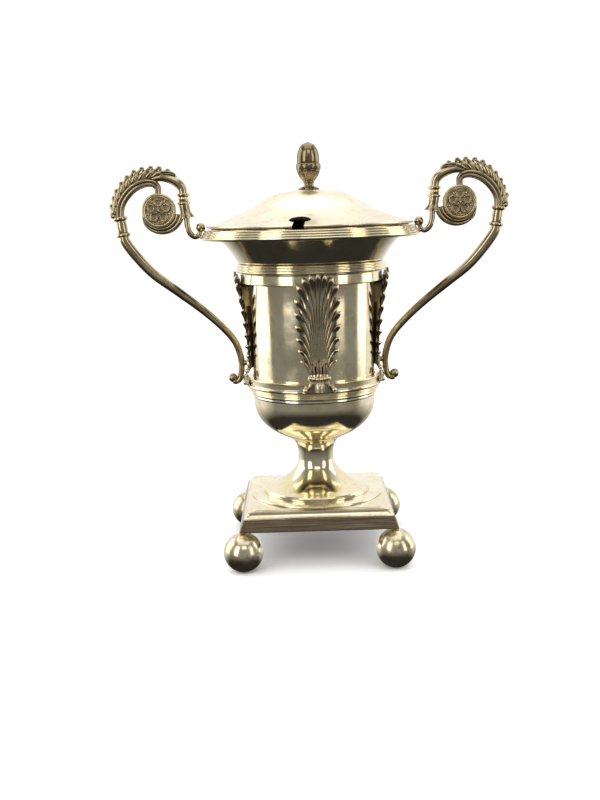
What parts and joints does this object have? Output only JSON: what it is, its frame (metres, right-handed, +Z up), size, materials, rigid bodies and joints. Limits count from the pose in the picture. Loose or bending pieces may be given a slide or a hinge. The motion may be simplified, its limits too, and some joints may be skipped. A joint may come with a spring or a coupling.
{
  "type": "covered silver sugar bowl",
  "caption": "Two-handled covered sugar bowl: vase-shaped silver body with palmettes on a square plinth and ball feet, domed lid with a spoon notch and acorn knob.",
  "frame": {"origin": "on the table, under the middle of the bowl", "axes": "+Z up along the bowl's axis, +X towards the right handle, -Y towards the front with the lid's spoon notch"},
  "size_m": [0.1816, 0.1006, 0.19],
  "materials": {
    "raised_silver": "polished, warm, lightly scratched",
    "cast_silver": "worn polish with dark tarnish in the recesses",
    "hidden_fixings": "tarnished"
  },
  "bodies": {
    "vase": {"ball_foot_front_left": "raised_silver", "ball_foot_front_right": "raised_silver", "ball_foot_back_left": "raised_silver", "ball_foot_back_right": "raised_silver", "plinth": "raised_silver", "step_ring": "raised_silver", "pedestal": "raised_silver", "pedestal_washer": "hidden_fixings", "pedestal_nut": "hidden_fixings", "pedestal_stud": "hidden_fixings", "bowl_bottom": "raised_silver", "lower_band": "raised_silver", "body_wall": "raised_silver", "upper_moulding": "raised_silver", "rim_wire": "raised_silver", "palmette_front": "cast_silver", "palmette_right": "cast_silver", "palmette_back": "cast_silver", "palmette_left": "cast_silver", "left_arm": "cast_silver", "left_lower_collar": "cast_silver", "left_arch": "cast_silver", "left_crest": "cast_silver", "left_crook": "cast_silver", "left_upper_collar": "cast_silver", "left_calyx": "cast_silver", "left_rim_hook": "cast_silver", "left_medallion": "cast_silver", "left_volute": "cast_silver", "right_arm": "cast_silver", "right_lower_collar": "cast_silver", "right_arch": "cast_silver", "right_crest": "cast_silver", "right_crook": "cast_silver", "right_upper_collar": "cast_silver", "right_calyx": "cast_silver", "right_rim_hook": "cast_silver", "right_medallion": "cast_silver", "right_volute": "cast_silver"},
    "knob": {"knob_base": "cast_silver", "acorn_cup": "cast_silver", "acorn_nut": "cast_silver", "knob_nut": "hidden_fixings", "knob_stud": "hidden_fixings"},
    "lid": {"lid_shell": "raised_silver", "lid_bezel": "raised_silver"}
  },
  "joints": [
    {"name": "lid_lift", "type": "slide", "parent": "vase", "child": "knob", "axis": [0, 0, 1], "range_m": [0, 0.06]},
    {"name": "lid_turn", "type": "hinge", "parent": "knob", "child": "lid", "pos_m": [0, 0, 0.16], "axis": [0, 0, 1], "continuous": true}
  ]
}
